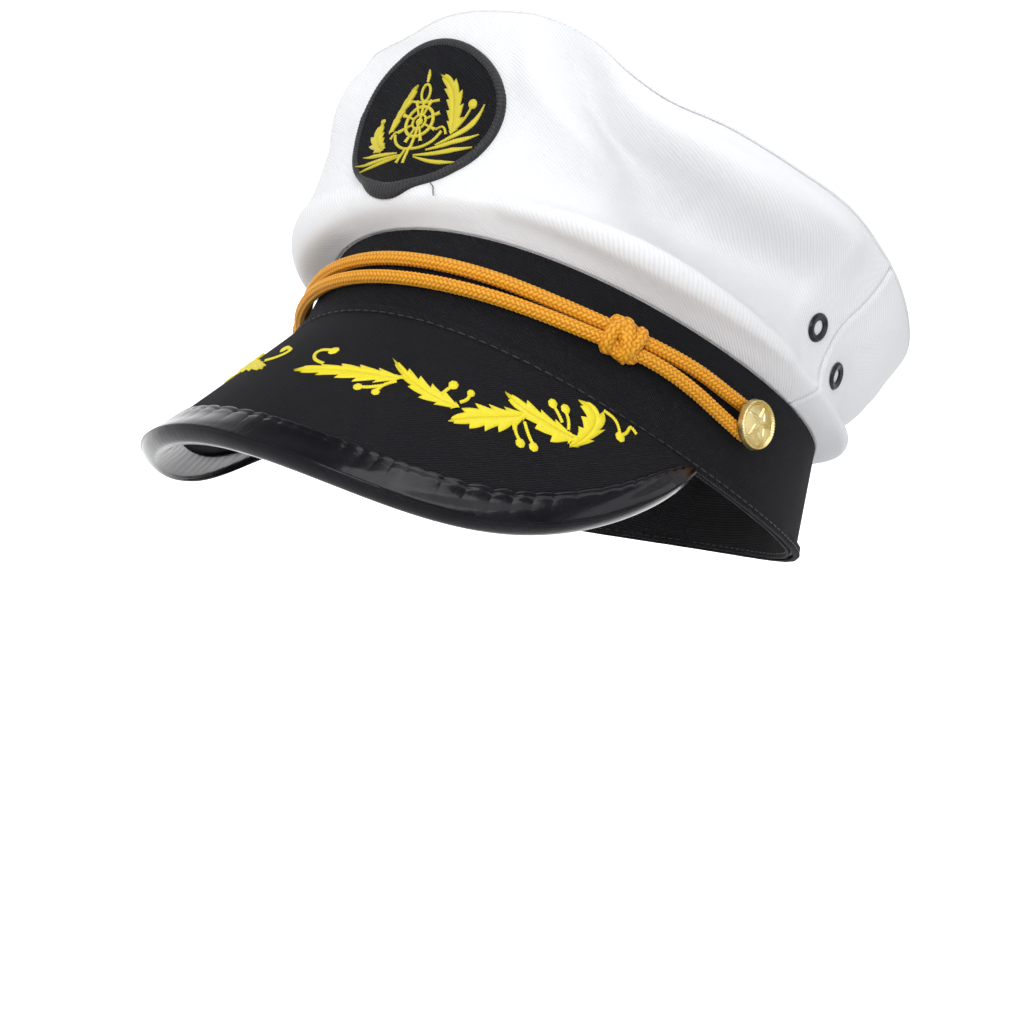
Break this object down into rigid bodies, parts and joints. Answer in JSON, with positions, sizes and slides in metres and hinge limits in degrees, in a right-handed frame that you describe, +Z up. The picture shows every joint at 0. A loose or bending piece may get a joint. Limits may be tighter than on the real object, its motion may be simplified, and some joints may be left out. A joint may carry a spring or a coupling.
{
  "type": "peaked cap",
  "caption": "Soft-topped peaked cap with a white crown, black band, sloping visor, braided chin cord with sliding knots, star side buttons and a nautical badge.",
  "frame": {"origin": "middle of the head opening, level with the lowest point of the band's front edge", "axes": "+Z up through the crown, -Y to the front over the visor, +X to the wearer's left; the cap is mirrored about the YZ plane"},
  "size_m": [0.216, 0.2592, 0.16],
  "materials": {
    "white_twill": "diagonal cotton twill, matte",
    "black_twill": "fine diagonal twill, matte",
    "buckram": "stiff open weave, glazed",
    "seam_tape": "plain woven tape",
    "band_board": "thin flexible strip",
    "sweatband_tape": "ribbed woven tape",
    "visor_board": "moulded sheet",
    "black_lining": "plain weave",
    "patent_black": "glossy coated cloth, puckered",
    "lemon_thread": "satin-stitched rayon thread",
    "gold_thread": "satin-stitched rayon thread",
    "black_thread": "merrowed overlock thread",
    "golden_cord": "round braided cord with a soft sheen",
    "gilt_metal": "stamped and gilt, soft gloss",
    "plain_metal": "plain pressed metal",
    "black_metal": "black enamelled"
  },
  "bodies": {
    "cap": {"badge_backing": "black_twill", "badge_border": "black_thread", "badge_cloth": "black_twill", "badge_embroidery": "gold_thread", "crown_front_panel": "white_twill", "crown_front_stiffener": "buckram", "crown_rear_left_panel": "white_twill", "crown_rear_right_panel": "white_twill", "crown_rim_tape": "seam_tape", "crown_seam_tapes": "seam_tape", "crown_top_panel": "white_twill", "eyelet_left_front": "black_metal", "eyelet_left_front_washer": "black_metal", "eyelet_left_rear": "black_metal", "eyelet_left_rear_washer": "black_metal", "eyelet_right_front": "black_metal", "eyelet_right_front_washer": "black_metal", "eyelet_right_rear": "black_metal", "eyelet_right_rear_washer": "black_metal", "hatband_cover": "black_twill", "hatband_stiffener": "band_board", "sweatband": "sweatband_tape", "visor_binding": "patent_black", "visor_branch_left": "lemon_thread", "visor_branch_right": "lemon_thread", "visor_core": "visor_board", "visor_lining": "black_lining", "visor_top_cover": "black_twill"},
    "chin_cord": {"chin_cord": "golden_cord"},
    "knot_left": {"knot_left": "golden_cord"},
    "knot_right": {"knot_right": "golden_cord"},
    "button_left": {"button_left_back": "plain_metal", "button_left_shank": "plain_metal", "button_left_shell": "gilt_metal", "button_left_washer": "plain_metal"},
    "button_right": {"button_right_back": "plain_metal", "button_right_shank": "plain_metal", "button_right_shell": "gilt_metal", "button_right_washer": "plain_metal"}
  },
  "joints": [
    {"name": "cord_lift", "type": "hinge", "parent": "cap", "child": "chin_cord", "pos_m": [0, -0.01947, 0.008], "axis": [1, 0, 0], "range_deg": [-4, 2]},
    {"name": "knot_left_slide", "type": "hinge", "parent": "chin_cord", "child": "knot_left", "pos_m": [-0.00303, -0.01314, 0.01494], "axis": [0.0349, -0.0034, 0.9994], "range_deg": [-4, 4]},
    {"name": "knot_right_slide", "type": "hinge", "parent": "chin_cord", "child": "knot_right", "pos_m": [0.00303, -0.01314, 0.01494], "axis": [0.0349, 0.0034, -0.9994], "range_deg": [-4, 4]},
    {"name": "button_left_spin", "type": "hinge", "parent": "cap", "child": "button_left", "pos_m": [0.08704, -0.01947, 0.008], "axis": [0.9861, -0.1662, 0], "continuous": true},
    {"name": "button_right_spin", "type": "hinge", "parent": "cap", "child": "button_right", "pos_m": [-0.08704, -0.01947, 0.008], "axis": [-0.9861, -0.1662, 0], "continuous": true}
  ]
}
